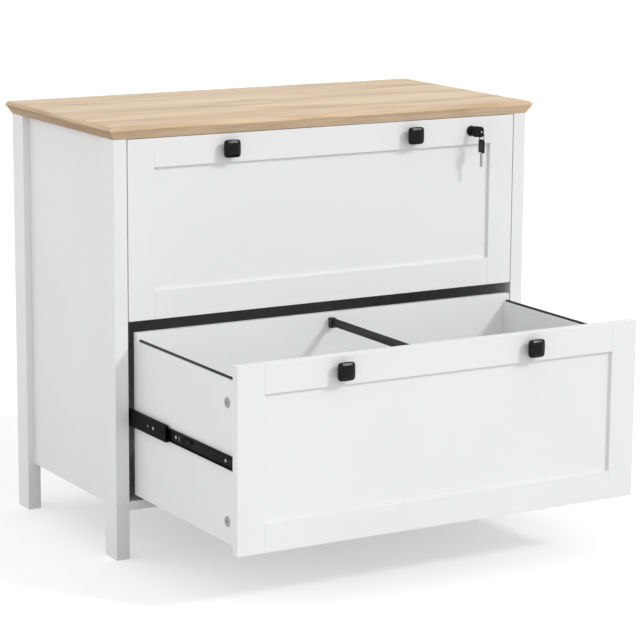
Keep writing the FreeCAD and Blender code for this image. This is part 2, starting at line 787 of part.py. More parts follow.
def make_drawer_members(level):
    """The inner channels, screwed to the drawer sides."""
    start = f"front_back - {LEVELS[level]['pull']}"
    height = f"{LEVELS[level]['base']} + slide_rise"
    members, screws = [], []
    for side_name, side in SIDES.items():
        inward = "-x" if side == RIGHT else "+x"
        bare = channel("drawer_channel", side, (start, f"{start} + drawer_member_length"), height,
                       ("slide_gap - slide_wall", "slide_gap"), ("slide_gap - drawer_flange", "slide_gap"),
                       "drawer_half", "middle_wall")
        holes = []
        for where, level_z in drawer_screw_places(level):
            web_face = "box_half + slide_wall"
            holes.append(rod("member_hole", (at_side(side, web_face), where, level_z), inward,
                             "slide_screw_radius + hole_play", "slide_wall"))
            outer = (at_side(side, f"{web_face} + slide_screw_cap"), where, level_z)
            head = rod("member_screw_head", outer, inward, "slide_screw_head", "slide_screw_cap")
            shank = rod("member_screw_shank", outer, inward, "slide_screw_radius",
                        "slide_screw_cap + slide_wall + slide_screw_bite")
            screws.append(fuse("member_screw", [head, shank]))
        members.append(cut(f"{level}_{side_name}_drawer_member", bare, holes))
    keep(f"{level}_drawer_members", group(f"{level}_drawer_members", members))
    keep(f"{level}_member_screws", group(f"{level}_member_screws", screws))


def make_cages(level, stage, near, depth, diameter, race, start, share):
    """Bent strips that space the balls of one stage of a drawer's slides, with the balls."""
    height = f"{LEVELS[level]['base']} + slide_rise"
    first = f"slide_front + {start} - {share} * {LEVELS[level]['pull']}"
    along = (first, f"{first} + cage_length")
    line = f"({race}) - ball_play - {diameter} / 2"
    pieces = []
    for side in SIDES.values():
        arm_x = section_span(side, near, f"{depth} + {diameter} / 2 + cage_lip")
        strips = [block("cage_web", section_span(side, near, f"{near} + cage_wall"), along,
                        (f"{height} - ({line}) - cage_wall / 2", f"{height} + {line} + cage_wall / 2"))]
        holes, balls = [], []
        for sign in "+-":
            level_z = f"{height} {sign} ({line})"
            strips.append(block("cage_arm", arm_x, along,
                                (f"{level_z} - cage_wall / 2", f"{level_z} + cage_wall / 2")))
            for index in range(BALLS_IN_ROW):
                spot = (at_side(side, f"inner_x - ({depth})"),
                        f"{first} + cage_length * {(index + 0.5) / BALLS_IN_ROW}", level_z)
                balls.append(ball("slide_ball", spot, diameter))
                foot = (spot[0], spot[1], f"{level_z} - cage_wall / 2")
                holes.append(rod("ball_hole", foot, "+z", f"{diameter} / 2 + ball_play", "cage_wall"))
        pieces += [cut("ball_cage", fuse("ball_cage_blank", strips), holes)] + balls
    keep(f"{level}_{stage}_cages", group(f"{level}_{stage}_cages", pieces))


# Lock and keys

def make_lock():
    """Barrel, nut, turning plug with its cam, and the strike that the cam hooks behind."""
    face = ("lock_x", "front_plane", "lock_z")
    flange = rod("lock_flange_disc", face, "-y", "lock_flange_radius", "lock_flange")
    barrel = rod("lock_barrel", face, "+y", "barrel_radius", "front_thick + barrel_past_front")
    mouth = ("lock_x", "front_plane - lock_flange", "lock_z")
    bore = rod("lock_bore", mouth, "+y", "plug_radius + plug_play",
               "lock_flange + front_thick + barrel_past_front")
    keep("lock_housing", cut("lock_housing", fuse("lock_housing_blank", [flange, barrel]), [bore]))
    hexagon = size(doc.addObject("Part::Prism", "nut_hexagon"), Circumradius="nut_radius", Height="nut_thick")
    hexagon.Polygon = 6
    place(hexagon, ("lock_x", "front_back", "lock_z"), "+y")
    thread = rod("nut_bore", ("lock_x", "front_back", "lock_z"), "+y", "barrel_radius + hole_play",
                 "nut_thick")
    keep("lock_nut", cut("lock_nut", hexagon, [thread]))
    plug = rod("plug_body", mouth, "+y", "plug_radius", "lock_flange + front_thick + barrel_past_front")
    tail = block("plug_tail", ("lock_x - tail_width / 2", "lock_x + tail_width / 2"),
                 ("barrel_end", "cam_back + hole_play"),
                 ("lock_z - tail_width / 2", "lock_z + tail_width / 2"))
    cap = rod("plug_cap", ("lock_x", "cam_back + hole_play", "lock_z"), "+y", "tail_cap_radius", "tail_cap")
    keyway = block("keyway",
                   ("lock_x - blade_thick / 2 - keyway_play", "lock_x + blade_thick / 2 + keyway_play"),
                   ("front_plane - lock_flange", "pivot_y + blade_length + keyway_play"),
                   ("lock_z - blade_height / 2 - keyway_play", "lock_z + blade_height / 2 + keyway_play"))
    keep("lock_plug", cut("lock_plug", fuse("plug_blank", [plug, tail, cap]), [keyway]))
    hub = rod("cam_hub_disc", ("lock_x", "cam_front", "lock_z"), "+y", "cam_hub", "cam_thick")
    arm = block("cam_arm", ("lock_x - cam_reach", "lock_x"), ("cam_front", "cam_back"),
                ("lock_z - cam_width / 2", "lock_z + cam_width / 2"))
    hole = block("cam_hole", ("lock_x - tail_width / 2 - hole_play", "lock_x + tail_width / 2 + hole_play"),
                 ("cam_front", "cam_back"),
                 ("lock_z - tail_width / 2 - hole_play", "lock_z + tail_width / 2 + hole_play"))
    keep("lock_cam", cut("lock_cam", fuse("cam_blank", [hub, arm]), [hole]))
    width = ("lock_x - strike_width / 2", "lock_x + strike_width / 2")
    lip = block("strike_lip", width, ("strike_back - strike_thick", "strike_back"),
                ("strike_bottom", "leg_height"))
    seat = block("strike_seat", width, ("strike_back - strike_thick", "stretcher_front"),
                 ("leg_height - strike_thick", "leg_height"))
    holes = [rod("strike_plate_hole", (across, row, "leg_height - strike_thick"), "+z",
                 "strike_screw_radius + hole_play", "strike_thick") for across, row in strike_screw_places()]
    keep("lock_strike", cut("lock_strike", fuse("strike_blank", [lip, seat]), holes))


def key_bow(name):
    """A key's bow, lying along -Y from its hinge, with ears round the hinge and a hole for the ring."""
    body = doc.addObject("PartDesign::Body", f"{name}_body")
    half, notch = "bow_height / 2", "hinge_height / 2 + notch_play"
    outline = [("bow_ear", half), ("-bow_length", half), ("-bow_length", f"-({half})"),
               ("bow_ear", f"-({half})"), ("bow_ear", f"-({notch})"), ("-bow_notch", f"-({notch})"),
               ("-bow_notch", notch), ("bow_ear", notch)]
    sketch = sketch_loop(body, "YZ_Plane", outline, f"{name}_outline")
    pad = body.newObject("PartDesign::Pad", f"{name}_pad")
    pad.Profile = sketch
    size(pad, Length="bow_thick")
    pad.Midplane = True
    doc.recompute()
    tip = -value("bow_length")
    outer = [f"Edge{index}" for index, edge in enumerate(pad.Shape.Edges, start=1)
             if all(abs(corner.Y - tip) < NEAR for corner in edge.Vertexes)
             and abs(edge.Vertexes[0].X - edge.Vertexes[1].X) > NEAR]
    fillet = body.newObject("PartDesign::Fillet", f"{name}_corners")
    fillet.Base = (pad, outer)
    size(fillet, Radius="bow_corner")
    hole = rod("ring_hole", ("-bow_thick / 2", "-ring_hole_reach", "0"), "+x", "ring_hole_radius",
               "bow_thick")
    pin = rod("bow_pin", ("0", "0", "-bow_height / 2"), "+z", "hinge_pin", "bow_height")
    return fuse(name, [cut(f"{name}_plate", body, [hole]), pin])


def key_blade(name):
    """A key's blade, lying along +Y from the barrel of its hinge."""
    barrel = rod("blade_barrel", ("0", "0", "-hinge_height / 2"), "+z", "hinge_barrel", "hinge_height")
    blade = block("blade_plate", ("-blade_thick / 2", "blade_thick / 2"), ("0", "blade_length"),
                  ("-blade_height / 2", "blade_height / 2"))
    bore = rod("blade_bore", ("0", "0", "-hinge_height / 2"), "+z", "hinge_pin + hinge_play", "hinge_height")
    return cut(name, fuse(f"{name}_blank", [barrel, blade]), [bore])


def make_keys():
    """The key in the lock with its bow folded aside, and the spare key hanging from its ring."""
    pivot = ("lock_x", "pivot_y", "lock_z")
    keep("key_blade", place(key_blade("key_blade"), pivot))
    bow = key_bow("key_bow")
    folded = FreeCAD.Rotation(DIRECTIONS["+z"], value("bow_angle"))
    bow.Placement = FreeCAD.Placement(FreeCAD.Vector(), folded)
    bow.setExpression("Placement.Rotation.Angle", bind("bow_angle"))
    keep("key_bow", place(bow, pivot))
    ring = size(doc.addObject("Part::Torus", "key_ring"), Radius1="ring_radius", Radius2="ring_wire")
    upright = FreeCAD.Rotation(DIRECTIONS["+x"], 90)
    ring.Placement = FreeCAD.Placement(FreeCAD.Vector(), folded * upright)
    keep("key_ring", place(ring, ("hang_x", "hang_y", "ring_z")))
    turned = FreeCAD.Rotation(DIRECTIONS["+z"], value("spare_turn"))
    hanging = turned * FreeCAD.Rotation(DIRECTIONS["+x"], -90)
    pieces = []
    for piece in (key_bow("spare_bow"), key_blade("spare_blade")):
        piece.Placement = FreeCAD.Placement(FreeCAD.Vector(), hanging)
        pieces.append(place(piece, ("hang_x", "hang_y", "spare_z")))
    keep("spare_key", group("spare_key", pieces))


def build():
    """Make every piece."""
    make_top()
    make_legs()
    make_side_panels()
    make_flat_boards()
    make_carcass_fasteners()
    screws = []
    for level in LEVELS:
        make_front(level)
        make_box(level)
        make_hanging_bars(level)
        make_knobs(level)
        screws += make_cabinet_members(level)
        make_middle_members(level)
        make_drawer_members(level)
        make_cages(level, "outer", "outer_cage_near", "outer_ball_depth", "outer_ball", "cabinet_race",
                   "outer_cage_start", "outer_cage_share")
        make_cages(level, "inner", "inner_cage_near", "inner_ball_depth", "inner_ball", "middle_race",
                   "inner_cage_start", "inner_cage_share")
    keep("cabinet_member_screws", group("cabinet_member_screws", screws))
    make_lock()
    make_keys()
    doc.recompute()


def check():
    """Stop if anything failed to build."""
    for obj in doc.Objects:
        if {"Invalid", "Error"} & set(obj.State):
            raise RuntimeError(f"{obj.Label} did not build: {obj.State}")
    for node, obj in nodes.items():
        if obj.Shape.isNull() or not obj.Shape.isValid() or not obj.Shape.Solids:
            raise RuntimeError(f"{node} has no valid solid")


def write():
    """Write each piece under its own name."""
    os.makedirs("parts", exist_ok=True)
    for node, obj in nodes.items():
        obj.Shape.exportStep(f"parts/{node}.step")
    solids = sum(len(obj.Shape.Solids) for obj in nodes.values())
    print(f"{len(nodes)} pieces, {solids} solids")


build()
check()
write()
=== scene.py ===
import json
import math

import bmesh
import bpy
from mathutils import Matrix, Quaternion, Vector


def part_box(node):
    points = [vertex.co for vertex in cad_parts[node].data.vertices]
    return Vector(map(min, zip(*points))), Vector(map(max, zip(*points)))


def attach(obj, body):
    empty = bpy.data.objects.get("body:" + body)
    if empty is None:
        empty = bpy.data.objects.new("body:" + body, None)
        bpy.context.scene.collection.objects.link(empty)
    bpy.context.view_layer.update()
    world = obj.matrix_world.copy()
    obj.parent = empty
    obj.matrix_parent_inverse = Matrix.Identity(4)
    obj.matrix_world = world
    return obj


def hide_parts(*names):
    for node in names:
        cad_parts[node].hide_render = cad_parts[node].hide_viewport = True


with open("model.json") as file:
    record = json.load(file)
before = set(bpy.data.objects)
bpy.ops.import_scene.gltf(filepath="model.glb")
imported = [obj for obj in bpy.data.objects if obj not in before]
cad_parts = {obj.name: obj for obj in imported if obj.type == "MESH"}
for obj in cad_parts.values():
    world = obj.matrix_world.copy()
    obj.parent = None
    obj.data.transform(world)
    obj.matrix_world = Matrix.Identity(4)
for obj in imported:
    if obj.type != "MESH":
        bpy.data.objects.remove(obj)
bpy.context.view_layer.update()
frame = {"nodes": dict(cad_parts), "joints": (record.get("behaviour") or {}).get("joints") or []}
nodes = frame["nodes"]

MM = 0.001
LEVELS = ("upper", "lower")
SIDES = (-1, 1)
FACING = {-1: math.pi, 1: 0.0}
MEMBER_SHEET = 1.2 * MM
MEMBER_SCREWS = (35 * MM, 202 * MM, 320 * MM)
LEVER_START = 162 * MM
SHARP = math.radians(30)
X_AXIS = Vector((1, 0, 0))
Y_AXIS = Vector((0, 1, 0))
Z_AXIS = Vector((0, 0, 1))


# Handling meshes

def take(piece):
    """Make one piece the only one at hand."""
    bpy.ops.object.select_all(action="DESELECT")
    piece.select_set(True)
    bpy.context.view_layer.objects.active = piece


def open_mesh(piece):
    """Open a piece for shaping, with nothing picked."""
    take(piece)
    bpy.ops.object.mode_set(mode="EDIT")
    bpy.ops.mesh.select_all(action="DESELECT")


def close_mesh():
    """Leave the mesh that is open."""
    bpy.ops.object.mode_set(mode="OBJECT")


def pick_faces(test):
    """Pick the faces of the open mesh by their centre and normal."""
    bpy.ops.mesh.select_mode(type="FACE")
    bpy.ops.mesh.select_all(action="DESELECT")
    mesh = bmesh.from_edit_mesh(bpy.context.edit_object.data)
    for face in mesh.faces:
        face.select_set(test(face.calc_center_median(), face.normal))
    bmesh.update_edit_mesh(bpy.context.edit_object.data)


def pick_edges(test):
    """Pick the edges of the open mesh by their two ends."""
    bpy.ops.mesh.select_mode(type="EDGE")
    bpy.ops.mesh.select_all(action="DESELECT")
    mesh = bmesh.from_edit_mesh(bpy.context.edit_object.data)
    for edge in mesh.edges:
        edge.select_set(test(edge.verts[0].co, edge.verts[1].co))
    bmesh.update_edit_mesh(bpy.context.edit_object.data)


def settle(piece, angle=35):
    """Freeze a piece and smooth its shading over shallow angles."""
    freeze(piece)
    bpy.ops.object.shade_smooth_by_angle(angle=math.radians(angle))
    return piece


def apply_modifier(piece, kind, **settings):
    """Add a modifier to a piece and make it part of the mesh."""
    take(piece)
    modifier = piece.modifiers.new(kind.title(), kind)
    for name, setting in settings.items():
        setattr(modifier, name, setting)
    bpy.ops.object.modifier_apply(modifier=modifier.name)


def round_edges(piece, width, segments):
    """Round a piece's sharp edges."""
    apply_modifier(piece, "BEVEL", width=width, segments=segments, limit_method="ANGLE",
                   angle_limit=SHARP, use_clamp_overlap=True, harden_normals=False)


def carve(piece, tools):
    """Cut tools out of a piece."""
    for tool in tools:
        apply_modifier(piece, "BOOLEAN", operation="DIFFERENCE", object=tool, solver="EXACT")
    discard(*tools)


def discard(*pieces):
    """Take away tools and patterns that have been used."""
    for piece in pieces:
        bpy.data.objects.remove(piece)


def linked(name, data):
    """A new object in the scene."""
    thing = bpy.data.objects.new(name, data)
    bpy.context.scene.collection.objects.link(thing)
    return thing


def freeze(piece):
    """Put a piece's place, turn and scale into its mesh."""
    take(piece)
    bpy.ops.object.transform_apply(location=True, rotation=True, scale=True)


def board(name, low, high):
    """A plain block between two corners, as a start."""
    low, high = Vector(low), Vector(high)
    bpy.ops.object.select_all(action="DESELECT")
    bpy.ops.mesh.primitive_cube_add(size=1, location=(low + high) / 2)
    piece = bpy.context.object
    piece.name = name
    piece.scale = high - low
    freeze(piece)
    return piece


def draw_out(foot, axis, rings):
    """Draw the picked face out along an axis, through rings of (distance, half width)."""
    (at, wide), following = rings[0], rings[1:]
    for distance, ring in following:
        bpy.ops.mesh.extrude_region_move(TRANSFORM_OT_translate={"value": axis * (distance - at)})
        bpy.ops.transform.resize(value=(ring / wide,) * 3, center_override=foot + axis * distance)
        at, wide = distance, ring
    bpy.ops.mesh.select_all(action="SELECT")
    bpy.ops.mesh.normals_make_consistent(inside=False)
    close_mesh()


def turned(name, foot, axis, rings, sides):
    """A lathe-turned piece: a disc drawn out along an axis through rings of (distance, radius)."""
    axis, foot = Vector(axis).normalized(), Vector(foot)
    lean = Z_AXIS.rotation_difference(axis).to_euler()
    bpy.ops.object.select_all(action="DESELECT")
    start, radius = rings[0]
    bpy.ops.mesh.primitive_circle_add(vertices=sides, radius=radius, fill_type="NGON",
                                      location=foot + axis * start, rotation=lean)
    piece = bpy.context.object
    piece.name = name
    freeze(piece)
    open_mesh(piece)
    bpy.ops.mesh.select_mode(type="FACE")
    bpy.ops.mesh.select_all(action="SELECT")
    draw_out(foot, axis, rings)
    return piece


def pillow_square(name, foot, axis, rings, bulge, corner):
    """A piece drawn out like a turned one, from a square with bulged sides and round corners."""
    axis, foot = Vector(axis).normalized(), Vector(foot)
    start, half = rings[0]
    bpy.ops.object.select_all(action="DESELECT")
    bpy.ops.mesh.primitive_circle_add(vertices=4, radius=half * math.sqrt(2), fill_type="NOTHING",
                                      rotation=(0, 0, math.radians(45)))
    piece = bpy.context.object
    piece.name = name
    freeze(piece)
    open_mesh(piece)
    bpy.ops.mesh.select_all(action="SELECT")
    bpy.ops.mesh.subdivide(number_cuts=5)
    bpy.ops.transform.tosphere(value=bulge)
    bpy.ops.mesh.edge_face_add()
    bpy.ops.mesh.select_mode(type="VERT")
    bpy.ops.mesh.select_all(action="DESELECT")
    mesh = bmesh.from_edit_mesh(piece.data)
    far = max(point.co.length for point in mesh.verts)
    for point in mesh.verts:
        point.select_set(point.co.length > far * 0.99)
    mesh.select_flush(True)
    bmesh.update_edit_mesh(piece.data)
    bpy.ops.mesh.bevel(offset=corner, segments=5, affect="VERTICES")
    close_mesh()
    piece.scale = (2 * half / piece.dimensions.x, 2 * half / piece.dimensions.y, 1)
    piece.rotation_euler = Z_AXIS.rotation_difference(axis).to_euler()
    piece.location = foot + axis * start
    freeze(piece)
    open_mesh(piece)
    bpy.ops.mesh.select_mode(type="FACE")
    bpy.ops.mesh.select_all(action="SELECT")
    draw_out(foot, axis, rings)
    return piece


def set_out(pattern, name, spots):
    """Copies of a pattern piece, each with its own mesh, set at places and turns and joined."""
    twins = []
    for place, turn in spots:
        twin = linked(name, pattern.data.copy())
        twin.location = place
        twin.rotation_euler = (0, 0, turn)
        freeze(twin)
        twins.append(twin)
    return joined(name, twins)


def in_metres(rings):
    """Rings given in millimetres."""
    return [(distance * MM, radius * MM) for distance, radius in rings]


def joined(name, pieces):
    """Several pieces as one object."""
    bpy.ops.object.select_all(action="DESELECT")
    for piece in pieces:
        piece.select_set(True)
    bpy.context.view_layer.objects.active = pieces[0]
    if len(pieces) > 1:
        bpy.ops.object.join()
    pieces[0].name = name
    return pieces[0]


def softened(node, name, width, segments=2):
    """A copy of a frame piece with its sharp edges rounded."""
    piece = linked(name, nodes[node].data.copy())
    open_mesh(piece)
    bpy.ops.mesh.customdata_custom_splitnormals_clear()
    bpy.ops.mesh.select_all(action="SELECT")
    bpy.ops.mesh.remove_doubles(threshold=0.01 * MM)
    bpy.ops.mesh.dissolve_limited(angle_limit=math.radians(1))
    close_mesh()
    if width:
        round_edges(piece, width, segments)
    return settle(piece)


def fit(piece, body, slot, finish, *stands_for):
    """Fasten a finished piece to its body and give it its finish."""
    piece.data.materials.clear()
    piece.data.materials.append(finish)
    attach(piece, body)
    if stands_for:
        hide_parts(*stands_for)


def dress(finish, *names):
    """Give frame pieces a finish."""
    for name in names:
        shape = nodes[name]
        if not shape.material_slots:
            shape.data.materials.append(finish)
        for slot in shape.material_slots:
            slot.material = finish


def both(*names):
    """The pieces of that name in both drawers."""
    return [f"{level}_{name}" for level in LEVELS for name in names]


# Finishes

class Finish:
    """A material under way: its nodes, their links and its shader."""

    def __init__(self, name, roughness, metallic=0.0, specular=0.5):
        self.material = bpy.data.materials.new(name)
        self.material.use_nodes = True
        self.tree = self.material.node_tree
        self.shader = self.tree.nodes["Principled BSDF"]
        self.shader.inputs["Roughness"].default_value = roughness
        self.shader.inputs["Metallic"].default_value = metallic
        self.shader.inputs["Specular IOR Level"].default_value = specular
        self.place = self.add("ShaderNodeTexCoord").outputs["Object"]

    def add(self, kind, **settings):
        """A node with its settings."""
        node = self.tree.nodes.new(kind)
        for name, setting in settings.items():
            setattr(node, name, setting)
        return node

    def link(self, start, end):
        """Join an output to an input."""
        self.tree.links.new(start, end)

    def stretched(self, scale, place=None):
        """Places scaled on each axis, the object's own unless others are given."""
        node = self.add("ShaderNodeMapping")
        node.inputs["Scale"].default_value = scale
        self.link(place or self.place, node.inputs["Vector"])
        return node.outputs["Vector"]

    def facing(self, axis, test, level):
        """A mask of the faces whose normal passes a test on one axis."""
        parts = self.add("ShaderNodeSeparateXYZ")
        self.link(self.add("ShaderNodeTexCoord").outputs["Normal"], parts.inputs["Vector"])
        size = parts.outputs[axis]
        if test == "GREATER_THAN":
            absolute = self.add("ShaderNodeMath", operation="ABSOLUTE")
            self.link(size, absolute.inputs[0])
            size = absolute.outputs["Value"]
        compare = self.add("ShaderNodeMath", operation=test)
        compare.inputs[1].default_value = level
        self.link(size, compare.inputs[0])
        return compare.outputs["Value"]

    def both_masks(self, first, second):
        """Where two masks meet."""
        node = self.add("ShaderNodeMath", operation="MULTIPLY")
        self.link(first, node.inputs[0])
        self.link(second, node.inputs[1])
        return node.outputs["Value"]

    def along_edges(self, ends):
        """Object places with X and Y traded at the ends, so that the grain follows each edge."""
        quarter = self.add("ShaderNodeMapping")
        quarter.inputs["Rotation"].default_value = (0, 0, math.radians(90))
        self.link(self.place, quarter.inputs["Vector"])
        return self.mixed(self.place, quarter.outputs["Vector"], ends)

    def noise(self, vector, scale, detail=2.0, roughness=0.5, distortion=0.0):
        """A cloudy pattern."""
        node = self.add("ShaderNodeTexNoise")
        for name, setting in (("Scale", scale), ("Detail", detail), ("Roughness", roughness),
                              ("Distortion", distortion)):
            node.inputs[name].default_value = setting
        self.link(vector, node.inputs["Vector"])
        return node.outputs["Fac"]

    def ramp(self, factor, stops):
        """Colours or levels spread over a pattern."""
        node = self.add("ShaderNodeValToRGB")
        marks = node.color_ramp.elements
        while len(marks) < len(stops):
            marks.new(0.5)
        for mark, (at, colour) in zip(marks, stops):
            mark.position = at
            mark.color = (*colour, 1) if isinstance(colour, tuple) else (colour, colour, colour, 1)
        self.link(factor, node.inputs["Fac"])
        return node.outputs["Color"]

    def mixed(self, first, second, factor, blend="MIX"):
        """Two colours laid over each other."""
        node = self.add("ShaderNodeMix", data_type="RGBA", blend_type=blend)
        for name, source in (("Factor_Float", factor), ("A_Color", first), ("B_Color", second)):
            socket = next(item for item in node.inputs if item.identifier == name)
            if isinstance(source, bpy.types.NodeSocket):
                self.link(source, socket)
            else:
                socket.default_value = source
        return next(item for item in node.outputs if item.identifier == "Result_Color")

    def spread(self, factor, low, high):
        """A pattern brought between two levels."""
        node = self.add("ShaderNodeMapRange")
        node.inputs["To Min"].default_value = low
        node.inputs["To Max"].default_value = high
        self.link(factor, node.inputs["Value"])
        return node.outputs["Result"]

    def relief(self, height, strength, depth):
        """Fine relief on the surface."""
        node = self.add("ShaderNodeBump")
        node.inputs["Strength"].default_value = strength
        node.inputs["Distance"].default_value = depth
        self.link(height, node.inputs["Height"])
        self.link(node.outputs["Normal"], self.shader.inputs["Normal"])

    def colour(self, source):
        """Colour the surface."""
        self.link(source, self.shader.inputs["Base Color"])

    def gloss(self, source):
        """Vary how rough the surface is."""
        self.link(source, self.shader.inputs["Roughness"])


def white_melamine():
    """White coated board: a faint pebbled skin and hardly any change of tone."""
    finish = Finish("white_melamine", 0.42)
    cloud = finish.noise(finish.place, 5.0, 3.0)
    finish.colour(finish.ramp(cloud, [(0.3, (0.80, 0.802, 0.805)), (0.7, (0.825, 0.827, 0.83))]))
    pebble = finish.noise(finish.place, 900.0, 1.0)
    finish.gloss(finish.spread(finish.noise(finish.place, 60.0), 0.36, 0.48))
    finish.relief(pebble, 0.08, 0.0002)
    return finish.material


def oak_laminate():
    """Pale oak print: broad bands, fine streaks along each edge and dark pores, with painted shade darkening
    the undercut ends.
    """
    finish = Finish("oak_laminate", 0.5, specular=0.35)
    ends = finish.facing("X", "GREATER_THAN", 0.5)
    way = finish.along_edges(ends)
    bands = finish.noise(finish.stretched((2.6, 27.0, 27.0), way), 1.0, 4.0, 0.55, 0.9)
    streaks = finish.noise(finish.stretched((5.5, 140.0, 140.0), way), 1.0, 5.0, 0.6, 0.4)
    fibres = finish.noise(finish.stretched((9.0, 560.0, 560.0), way), 1.0, 3.0, 0.6)
    pores = finish.noise(finish.stretched((26.0, 900.0, 900.0), way), 1.0, 2.0)
    warmth = finish.noise(finish.stretched((3.2, 22.0, 22.0), way), 1.0, 2.0, 0.5, 0.8)
    base = finish.ramp(bands, [(0.30, (0.528, 0.377, 0.241)), (0.44, (0.648, 0.491, 0.33)),
                               (0.56, (0.729, 0.572, 0.405)), (0.72, (0.777, 0.629, 0.462))])
    tint = finish.ramp(streaks, [(0.3, (0.82, 0.78, 0.73)), (0.55, (1.0, 1.0, 1.0)),
                                 (0.8, (1.06, 1.07, 1.08))])
    blush = finish.ramp(warmth, [(0.48, (1.0, 1.0, 1.0)), (0.66, (1.0, 0.93, 0.84))])
    threads = finish.ramp(fibres, [(0.35, (0.88, 0.86, 0.83)), (0.6, (1.02, 1.02, 1.02))])
    flecks = finish.ramp(pores, [(0.60, (1.0, 1.0, 1.0)), (0.70, (0.72, 0.65, 0.57))])
    grain = finish.mixed(base, tint, 0.8, "MULTIPLY")
    grain = finish.mixed(grain, threads, 0.8, "MULTIPLY")
    grain = finish.mixed(grain, blush, 0.65, "MULTIPLY")
    grain = finish.mixed(grain, flecks, 0.6, "MULTIPLY")
    # Painted shade: the colour is darkened on the downward-facing undercut faces at both ends of the top.
    undercut = finish.both_masks(ends, finish.facing("Z", "LESS_THAN", -0.2))
    finish.colour(finish.mixed(grain, (0.645, 0.563, 0.48, 1), undercut, "MULTIPLY"))
    finish.gloss(finish.spread(streaks, 0.42, 0.6))
    finish.relief(pores, 0.12, 0.0003)
    return finish.material


def fibreboard():
    """Thin pale board with a fibrous face."""
    finish = Finish("fibreboard", 0.7, specular=0.3)
    fibres = finish.noise(finish.stretched((60.0, 60.0, 240.0)), 1.0, 4.0, 0.6, 0.6)
    finish.colour(finish.ramp(fibres, [(0.3, (0.63, 0.63, 0.62)), (0.7, (0.70, 0.70, 0.69))]))
    finish.relief(fibres, 0.15, 0.0003)
    return finish.material


def black_steel(name, tone, roughness, drawn):
    """Black coated steel with faint drawing marks along one axis."""
    finish = Finish(name, roughness, specular=0.05)
    marks = finish.noise(finish.stretched(drawn), 1.0, 3.0)
    finish.colour(finish.ramp(marks, [(0.3, (tone * 0.75,) * 3), (0.7, (tone * 1.35,) * 3)]))
    finish.gloss(finish.spread(marks, roughness - 0.07, roughness + 0.1))
    finish.relief(finish.noise(finish.place, 1500.0), 0.08, 0.0001)
    return finish.material


def black_lacquer(name, tone, roughness):
    """Black lacquer with a soft shine and a trace of dust in the coat."""
    finish = Finish(name, roughness, specular=0.2)
    cloud = finish.noise(finish.place, 120.0, 3.0)
    finish.colour(finish.ramp(cloud, [(0.35, (tone * 0.8,) * 3), (0.75, (tone * 1.3,) * 3)]))
    finish.gloss(finish.spread(cloud, roughness - 0.05, roughness + 0.08))
    finish.relief(finish.noise(finish.place, 2200.0, 1.0), 0.05, 0.0001)
    return finish.material


def bright_steel(name, tone, roughness):
    """Zinc-plated steel with fine scratches."""
    finish = Finish(name, roughness, metallic=1.0)
    marks = finish.noise(finish.stretched((900.0, 900.0, 120.0)), 1.0, 3.0)
    finish.colour(finish.ramp(marks, [(0.3, (tone * 0.85, tone * 0.85, tone * 0.87)), (0.7, (tone,) * 3)]))
    finish.gloss(finish.spread(marks, roughness - 0.08, roughness + 0.12))
    return finish.material


def moulded_plastic(name, tone, roughness):
    """Moulded plastic with a fine spark-eroded texture."""
    finish = Finish(name, roughness, specular=0.4)
    cloud = finish.noise(finish.place, 80.0, 2.0)
    finish.colour(finish.ramp(cloud, [(0.3, (tone * 0.92,) * 3), (0.7, (tone * 1.06,) * 3)]))
    finish.relief(finish.noise(finish.place, 2600.0, 1.0), 0.1, 0.0001)
    finish.gloss(finish.spread(cloud, roughness - 0.04, roughness + 0.06))
    return finish.material


WHITE = white_melamine()
OAK = oak_laminate()
BACK = fibreboard()
SLIDE = black_steel("slide_black", 0.004, 0.42, (300.0, 8.0, 300.0))
BAR = black_steel("bar_dark", 0.05, 0.4, (300.0, 8.0, 300.0))
KNOB = black_lacquer("knob_lacquer", 0.0015, 0.25)
LOCK = black_lacquer("lock_lacquer", 0.010, 0.34)
PLATED = bright_steel("plated_steel", 0.45, 0.32)
SCREW = bright_steel("screw_steel", 0.55, 0.3)
CAP = moulded_plastic("cap_grey", 0.37, 0.45)
CLIP = moulded_plastic("clip_black", 0.02, 0.5)
KEY = black_lacquer("key_black", 0.006, 0.4)
RING = black_steel("ring_black", 0.02, 0.35, (200.0, 200.0, 200.0))


# Carcass and boards

def make_top():
    """The oak top: undercut to a thin rim, then rolled over to a flat face."""
    low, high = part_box("top_panel")
    over = 9 * MM
    rim = low.z + 15 * MM
    rim_ease, rim_inset = 0.5 * MM, 0.3 * MM
    rise = high.z - rim
    roll = 7.5 * MM
    rolls = 7
    middle = (low + high) / 2
    half = (high - low) / 2
    sections = [(low.z, -over), (rim - rim_ease, -rim_inset), (rim, 0.0)]
    for step in range(1, rolls + 1):
        angle = math.radians(90 * step / rolls)
        sections.append((rim + rise * math.sin(angle), -roll * (1 - math.cos(angle))))
    bpy.ops.object.select_all(action="DESELECT")
    bpy.ops.mesh.primitive_plane_add(size=2, location=(middle.x, middle.y, low.z))
    top = bpy.context.object
    top.name = "oak_top"
    top.scale = (half.x - over, half.y - over, 1)
    freeze(top)
    open_mesh(top)
    bpy.ops.mesh.select_all(action="SELECT")
    height, inset = sections[0]
    for level, out in sections[1:]:
        bpy.ops.mesh.extrude_region_move(TRANSFORM_OT_translate={"value": (0, 0, level - height)})
        ratio = ((half.x + out) / (half.x + inset), (half.y + out) / (half.y + inset), 1)
        bpy.ops.transform.resize(value=ratio, center_override=(middle.x, middle.y, level))
        height, inset = level, out
    bpy.ops.mesh.select_all(action="SELECT")
    bpy.ops.mesh.normals_make_consistent(inside=False)
    close_mesh()
    settle(top, 28)
    fit(top, "cabinet", "oak_board", OAK, "top_panel")


